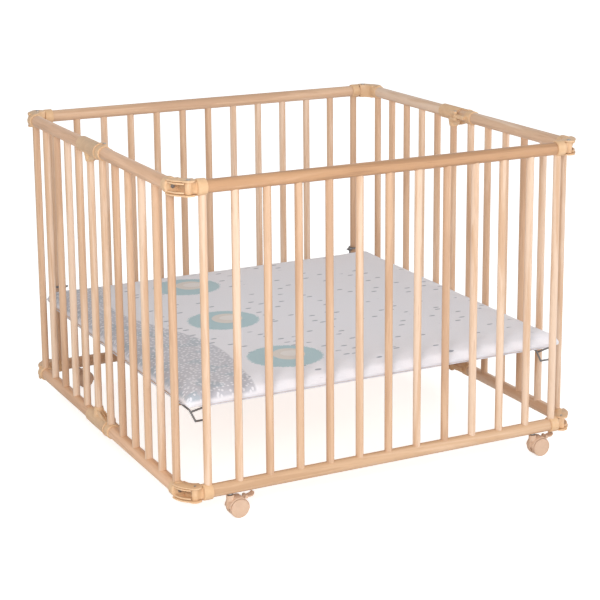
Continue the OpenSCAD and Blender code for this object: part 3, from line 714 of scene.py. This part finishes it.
CREAM_PLASTIC = moulded("cream_plastic", CREAM, CREAM_DEEP)
BEIGE_PLASTIC = moulded("beige_plastic", CASTER_BEIGE, CASTER_DEEP, wear=0.15)
ZINC = steel("zinc_steel", STEEL_GREY)
# The stems' steel is darkened as painted shade for the shadowed gap below the rails
STEM_STEEL_PAINTED_SHADE = steel("stem_steel_painted_shade", STEEL_PAINTED_SHADE)
BENT_WIRE = steel("bent_wire", WIRE_GREY, (1, 1, 1))
BOARD = board_face()


# ---------- elbow lips and caster arches ----------

ELBOW_BEND = 0.040
LIP_RADII = (0.0475, 0.0535)
LIP_LEVEL = 0.0098
LIP_HALF = 0.0021
LIP_SWEEP = 56.0


def spun_bar(centre, r0, r1, half, axis, start, sweep, steps):
    """A bent bar: a small rectangle spun round centre about the Y or Z axis, from start degrees."""
    bpy.ops.object.select_all(action="DESELECT")
    bpy.ops.mesh.primitive_plane_add(size=1)
    piece = bpy.context.object
    across = Vector((math.cos(math.radians(start)), 0, math.sin(math.radians(start))))
    wide = Vector((0, 1, 0))
    if axis == "Z":
        across = Vector((math.cos(math.radians(start)), math.sin(math.radians(start)), 0))
        wide = Vector((0, 0, 1))
    for vertex in piece.data.vertices:
        radius = r1 if vertex.co.x > 0 else r0
        side = half if vertex.co.y > 0 else -half
        vertex.co = Vector(centre) + across * radius + wide * side
    bpy.ops.object.mode_set(mode="EDIT")
    bpy.ops.mesh.select_all(action="SELECT")
    turn_axis = (0, 1, 0) if axis == "Y" else (0, 0, -1)
    bpy.ops.mesh.spin(
        steps=steps, dupli=False, angle=math.radians(sweep), use_auto_merge=False,
        center=centre, axis=turn_axis,
    )
    bpy.ops.mesh.select_all(action="SELECT")
    bpy.ops.mesh.remove_doubles(threshold=1e-6)
    bpy.ops.mesh.normals_make_consistent(inside=False)
    bpy.ops.object.mode_set(mode="OBJECT")
    rounded_edges(piece, min(half, (r1 - r0) / 2) * 0.7, angle=50)
    return piece


def mirrored_copy(piece, flip_x=False, flip_y=False, flip_z_about=None):
    """A copy of a finished shape turned over about the pen's middle planes, with its faces outwards."""
    copy = bpy.data.objects.new(piece.name, piece.data.copy())
    SCENE.collection.objects.link(copy)
    for vertex in copy.data.vertices:
        if flip_x:
            vertex.co.x = -vertex.co.x
        if flip_y:
            vertex.co.y = -vertex.co.y
        if flip_z_about is not None:
            vertex.co.z = 2 * flip_z_about - vertex.co.z
    flips = int(flip_x) + int(flip_y) + int(flip_z_about is not None)
    if flips % 2:
        copy.data.flip_normals()
    return copy


def joined(pieces):
    bpy.ops.object.select_all(action="DESELECT")
    for piece in pieces:
        piece.select_set(True)
    bpy.context.view_layer.objects.active = pieces[0]
    bpy.ops.object.join()
    return bpy.context.object


def elbow_lips(owner):
    """Two thin lips along the mouth of each elbow, between its plates."""
    low_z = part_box("front_bottom_rail")[0].z + RAIL_R
    middle_z = (low_z + TOP_Z) / 2
    centre = (-SIDE_X + ELBOW_BEND, FRONT_Y + ELBOW_BEND, 0.0)
    pair = []
    for level in (-LIP_LEVEL, LIP_LEVEL):
        place = (centre[0], centre[1], TOP_Z + level)
        pair.append(spun_bar(place, *LIP_RADII, LIP_HALF, "Z", 180.0, LIP_SWEEP, 14))
    top = joined(pair)
    for side, flip_x in (("left", False), ("right", True)):
        for half, flip_y in (("front", False), ("rear", True)):
            parts = [
                mirrored_copy(top, flip_x, flip_y),
                mirrored_copy(top, flip_x, flip_y, middle_z),
            ]
            name = f"{side}_{half}_elbow_lips"
            settle(joined(parts), name, owner[f"{side}_{half}_elbows"], CREAM_PLASTIC)
    bpy.data.objects.remove(top)


ARCH_RADII = (0.0221, 0.0238)
ARCH_START = -14.0
ARCH_SWEEP = 82.0


def caster_arches(owner):
    """The rim of each hood, carried on round the front of the wheels."""
    for corner in ("fl", "fr", "bl", "br"):
        low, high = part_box(f"caster_{corner}_wheels")
        axle = (low + high) / 2
        width = (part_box(f"caster_{corner}_hood")[1].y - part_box(f"caster_{corner}_hood")[0].y) / 2
        arch = spun_bar(tuple(axle), *ARCH_RADII, width, "Y", ARCH_START, ARCH_SWEEP, 22)
        settle(arch, f"caster_{corner}_arch", owner[f"caster_{corner}_hood"], BEIGE_PLASTIC)


DISC_R = 0.0186
DISC_T = 0.002
DISC_PROUD = 0.0004
DISC_EDGE = 0.0003
RING_PLACE = 0.0016
RING_GROOVE = 0.0005
DISC_CROWN_W = 0.0100
DISC_CROWN = 0.0003


def wheel_discs(owner):
    """A pressed disc on the outer face of each wheel, with a shallow ring near its rim."""
    for corner in ("fl", "fr", "bl", "br"):
        low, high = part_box(f"caster_{corner}_wheels")
        middle = (low + high) / 2
        pair = []
        for side in (-1, 1):
            bpy.ops.object.select_all(action="DESELECT")
            outer = high.y if side > 0 else low.y
            bpy.ops.mesh.primitive_cylinder_add(
                vertices=48, radius=DISC_R, depth=DISC_T, rotation=(math.radians(90), 0, 0),
                location=(middle.x, outer - side * (DISC_T / 2 - DISC_PROUD), middle.z),
            )
            disc = bpy.context.object
            bpy.ops.object.transform_apply(location=True, rotation=True, scale=True)
            bpy.ops.object.mode_set(mode="EDIT")
            pick_faces(disc, lambda centre, normal: normal.y * side > 0.9)
            bpy.ops.mesh.bevel(offset=DISC_EDGE, segments=2, affect="EDGES")
            pick_faces(disc, lambda centre, normal: normal.y * side > 0.99)
            bpy.ops.mesh.inset(thickness=RING_PLACE)
            bpy.ops.mesh.inset(thickness=RING_GROOVE, depth=-RING_GROOVE)
            bpy.ops.mesh.inset(thickness=RING_GROOVE, depth=RING_GROOVE)
            bpy.ops.mesh.inset(thickness=DISC_CROWN_W, depth=DISC_CROWN)
            bpy.ops.object.mode_set(mode="OBJECT")
            pair.append(disc)
        name = f"caster_{corner}_discs"
        settle(joined(pair), name, owner[f"caster_{corner}_wheels"], BEIGE_PLASTIC)


LEVER_R = 0.0040
LEVER_PAD = 0.0030
LEVER_CURL = 0.0052
LEVER_SAG = 0.0006
LEVER_NECK = 0.78
LEVER_EDGE = 0.0008
TREAD_START = 0.0006
TREAD_RISE = 0.0004
TIP_BOW = 0.0022
EAR_Y = 0.0067
EAR_LENGTH = 0.0044
EAR_EDGE = 0.0003
EAR_BOSS = 0.0014
EAR_STEP = 0.0004


def lever_cheek(x, y, z, length):
    """A round ear of the foot lever, with a raised pin boss on both faces."""
    bpy.ops.object.select_all(action="DESELECT")
    bpy.ops.mesh.primitive_cylinder_add(
        vertices=32, radius=LEVER_R, depth=length, rotation=(math.radians(90), 0, 0), location=(x, y, z)
    )
    ear = bpy.context.object
    bpy.ops.object.transform_apply(location=True, rotation=True, scale=True)
    bpy.ops.object.mode_set(mode="EDIT")
    pick_faces(ear, lambda centre, normal: abs(normal.y) > 0.9)
    bpy.ops.mesh.inset(thickness=EAR_BOSS, use_individual=True)
    bpy.ops.mesh.inset(thickness=EAR_EDGE, depth=-EAR_STEP, use_individual=True)
    bpy.ops.object.mode_set(mode="OBJECT")
    rounded_edges(ear, EAR_EDGE)
    return ear


def brake_lever(corner, owner):
    """Foot lever: two ears on a thin tread that curls up towards its tip."""
    low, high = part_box(f"caster_{corner}_lever")
    pivot = Vector((low.x + LEVER_R, (low.y + high.y) / 2, low.z + LEVER_R))
    half = (high.y - low.y) / 2
    parts = [lever_cheek(pivot.x, pivot.y + side * EAR_Y, pivot.z, EAR_LENGTH) for side in (-1, 1)]
    start, end = pivot.x + TREAD_START, high.x
    bpy.ops.object.select_all(action="DESELECT")
    middle = ((start + end) / 2, pivot.y, pivot.z + TREAD_RISE)
    bpy.ops.mesh.primitive_cube_add(size=1, location=middle)
    tread = bpy.context.object
    tread.dimensions = (end - start, 2 * half, LEVER_PAD)
    bpy.ops.object.transform_apply(location=True, rotation=True, scale=True)
    bpy.ops.object.mode_set(mode="EDIT")
    bpy.ops.mesh.subdivide(number_cuts=9)
    bpy.ops.object.mode_set(mode="OBJECT")
    for vertex in tread.data.vertices:
        t = (vertex.co.x - start) / (end - start)
        s = (vertex.co.y - pivot.y) / half
        widening = min(1.0, max(0.0, (t - 0.2) / 0.25))
        vertex.co.y = pivot.y + half * s * (LEVER_NECK + (1 - LEVER_NECK) * widening)
        vertex.co.x -= TIP_BOW * s * s * max(0.0, t - 0.6) / 0.4
        curl = LEVER_CURL * max(0.0, (t - 0.55) / 0.45) ** 2
        vertex.co.z += curl - LEVER_SAG * math.sin(math.pi * min(1.0, t / 0.6))
    rounded_edges(tread, LEVER_EDGE)
    parts.append(tread)
    name = f"caster_{corner}_lever_moulded"
    piece = settle(joined(parts), name, owner[f"caster_{corner}_lever"], BEIGE_PLASTIC)
    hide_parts(f"caster_{corner}_lever")


def finish_fittings():
    bodies = frame["record"]["behaviour"]["bodies"]
    owner = {node: body for body, members in bodies.items() for node in members}
    for node in sorted(NODES):
        if node.endswith(("_collars", "_elbows", "_sleeves", "_leaves")):
            softened(node, node + "_moulded", 0.0007, owner[node], CREAM_PLASTIC)
        elif node == "wire_clips":
            softened(node, "wire_clips_moulded", 0.0008, owner[node], CREAM_PLASTIC)
        elif node.endswith(("_hood", "_wheels")):
            softened(node, node + "_moulded", 0.0006, owner[node], BEIGE_PLASTIC)
        # Caster stems get the darkened steel: painted shade for the gap under the rails, over the steel's
        # own look
        elif node.endswith("_stem"):
            dress(NODES[node], STEM_STEEL_PAINTED_SHADE)
        elif node.endswith(("_screws", "_pins", "_axle", "_sockets")):
            dress(NODES[node], ZINC)
        elif node in ("rear_rings", "rear_hangers", "front_wires"):
            dress(NODES[node], BENT_WIRE)
    dress(NODES["floor_board"], BOARD)
    elbow_lips(owner)
    caster_arches(owner)
    wheel_discs(owner)
    for corner in ("fl", "fr"):
        brake_lever(corner, owner)


# ---------- camera, light and floor ----------

VIEW_PLACE = (-1.8093, -3.6942, 1.4807)
VIEW_YAW = 0.47981
VIEW_PITCH = -0.21577
VIEW_ROLL = -0.00362
VIEW_LENS = 101.43
VIEW_SHIFT = (-0.05, -0.17)


def set_camera():
    data = bpy.data.cameras.new("camera")
    data.lens = VIEW_LENS
    data.sensor_width = 36.0
    data.shift_x, data.shift_y = VIEW_SHIFT
    data.clip_end = 100.0
    camera = bpy.data.objects.new("camera", data)
    SCENE.collection.objects.link(camera)
    reach = math.cos(VIEW_PITCH)
    ahead = Vector((math.sin(VIEW_YAW) * reach, math.cos(VIEW_YAW) * reach, math.sin(VIEW_PITCH)))
    level = Vector((math.cos(VIEW_YAW), -math.sin(VIEW_YAW), 0.0))
    above = level.cross(ahead)
    right = level * math.cos(VIEW_ROLL) + above * math.sin(VIEW_ROLL)
    up = above * math.cos(VIEW_ROLL) - level * math.sin(VIEW_ROLL)
    turn = Matrix((right, up, -ahead)).transposed().to_4x4()
    camera.matrix_world = Matrix.Translation(VIEW_PLACE) @ turn
    SCENE.camera = camera


def add_softbox(name, place, aim, size, power, colour=(1, 1, 1)):
    data = bpy.data.lights.new(name, "AREA")
    data.shape = "DISK"
    data.size = size
    data.energy = power
    data.color = colour
    lamp = bpy.data.objects.new(name, data)
    SCENE.collection.objects.link(lamp)
    lamp.location = place
    lamp.rotation_euler = (Vector(aim) - Vector(place)).to_track_quat("-Z", "Y").to_euler()


WORLD_OVERHEAD = 0.52
WORLD_LEVEL = 0.80
FLOOR_LIFT = 0.62


def set_world():
    """A studio tent: bright round the horizon and dimmer overhead."""
    world = bpy.data.worlds.new("studio")
    SCENE.world = world
    world.use_nodes = True
    n = Nodes(world.node_tree)
    tent = next(node for node in world.node_tree.nodes if node.type == "BACKGROUND")
    height = n.add("ShaderNodeSeparateXYZ")
    n.link(n.add("ShaderNodeTexCoord").outputs["Generated"], height.inputs[0])
    n.link(n.remap(height.outputs[2], 0.0, 0.8, WORLD_LEVEL, WORLD_OVERHEAD), tent.inputs["Strength"])
    tent.inputs["Color"].default_value = (1.0, 1.0, 1.0, 1.0)


def lay_floor():
    """A pale seamless floor, lifted towards white where it is seen directly."""
    bpy.ops.object.select_all(action="DESELECT")
    bpy.ops.mesh.primitive_plane_add(size=60, location=(0, 0, -0.0005))
    floor = bpy.context.object
    floor.name = "studio_floor"
    finish = Finish("studio_floor")
    pale = finish.remap(finish.noise(finish.coords, 1.5), 0.3, 0.7)
    colour = finish.mix(pale, rgba((0.90, 0.90, 0.90)), rgba((0.92, 0.92, 0.92)))
    finish.feed(finish.shader.inputs["Base Color"], colour)
    finish.shader.inputs["Roughness"].default_value = 0.7
    finish.shader.inputs["Emission Color"].default_value = (1.0, 1.0, 1.0, 1.0)
    seen = finish.add("ShaderNodeLightPath").outputs["Is Camera Ray"]
    finish.feed(finish.shader.inputs["Emission Strength"], finish.math("MULTIPLY", seen, FLOOR_LIFT))
    dress(floor, finish.material)


def set_light_and_floor():
    set_world()
    add_softbox("key", (-1.7, -3.0, 1.7), (0, 0, 0.4), 1.7, 60, (1.0, 0.99, 0.98))
    add_softbox("fill", (3.4, -2.4, 1.6), (0, 0, 0.4), 2.4, 48, (0.97, 0.985, 1.0))
    lay_floor()
    SCENE.view_settings.view_transform = "Standard"


set_camera()
make_mat()
finish_rails_and_bars()
finish_fittings()
set_light_and_floor()
